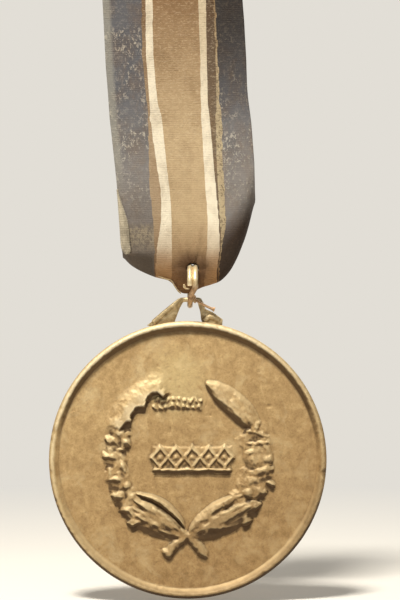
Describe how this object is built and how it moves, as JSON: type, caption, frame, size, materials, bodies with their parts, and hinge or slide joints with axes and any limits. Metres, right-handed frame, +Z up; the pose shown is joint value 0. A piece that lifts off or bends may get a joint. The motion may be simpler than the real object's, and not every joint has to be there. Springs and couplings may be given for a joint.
{
  "type": "military service medal",
  "caption": "Round bronze service medal with a raised wreath and tablet, hung by a split ring from a striped woven ribbon on a pin brooch.",
  "frame": {"origin": "centre of the disc, on the plane that its back rests on", "axes": "+Z up along the ribbon when the medal hangs, +Y out of the disc's back, +X to the right of a person facing the front"},
  "size_m": [0.05, 0.0084, 0.1263],
  "materials": {
    "aged_bronze": "worn matt bronze with a fine pitted field and a rubbed rim",
    "lug_bronze": "rubbed bronze, bright on its edges",
    "copper_wire": "thin copper wire with a dull skin",
    "ring_brass": "worn pale brass wire, copper toned low down",
    "ribbon_weave": "ribbed weave in blue, brown, white and tan stripes, faded and worn",
    "sewing_thread": "twisted cotton thread",
    "brooch_bronze": "worn bronze with a darker sunk panel",
    "pin_brass": "plain drawn brass, slightly dulled",
    "needle_steel": "polished steel wire, slightly dulled"
  },
  "bodies": {
    "brooch": {"brooch_plate": "brooch_bronze", "ribbon_rod": "pin_brass", "hinge_bracket": "pin_brass", "hinge_rivet": "pin_brass", "catch_base": "pin_brass"},
    "needle": {"brooch_needle": "needle_steel"},
    "catch": {"catch_barrel": "pin_brass"},
    "strap": {"ribbon": "ribbon_weave", "seam_thread": "sewing_thread"},
    "ring": {"split_ring": "ring_brass"},
    "medal": {"medal_disc": "aged_bronze", "suspension_lug": "lug_bronze", "binding_wire": "copper_wire"}
  },
  "joints": [
    {"name": "brooch_pin_swing", "type": "hinge", "parent": "brooch", "child": "needle", "pos_m": [-0.0153, 0.001, 0.0975], "axis": [0, 0, 1], "range_deg": [0, 100]},
    {"name": "catch_turn", "type": "hinge", "parent": "brooch", "child": "catch", "pos_m": [0.0067, 0.001, 0.0975], "axis": [1, 0, 0], "range_deg": [0, 150]},
    {"name": "ribbon_swing", "type": "hinge", "parent": "brooch", "child": "strap", "pos_m": [-0.0033, -0.0015, 0.092], "axis": [1, 0, 0], "range_deg": [-60, 60]},
    {"name": "ring_sway", "type": "hinge", "parent": "strap", "child": "ring", "pos_m": [0.00088, -0.0015, 0.0344], "axis": [0, 1, 0], "range_deg": [-20, 20]},
    {"name": "medal_swing", "type": "hinge", "parent": "ring", "child": "medal", "pos_m": [0, -0.0015, 0.02885], "axis": [1, 0, 0], "range_deg": [-65, 65]}
  ]
}
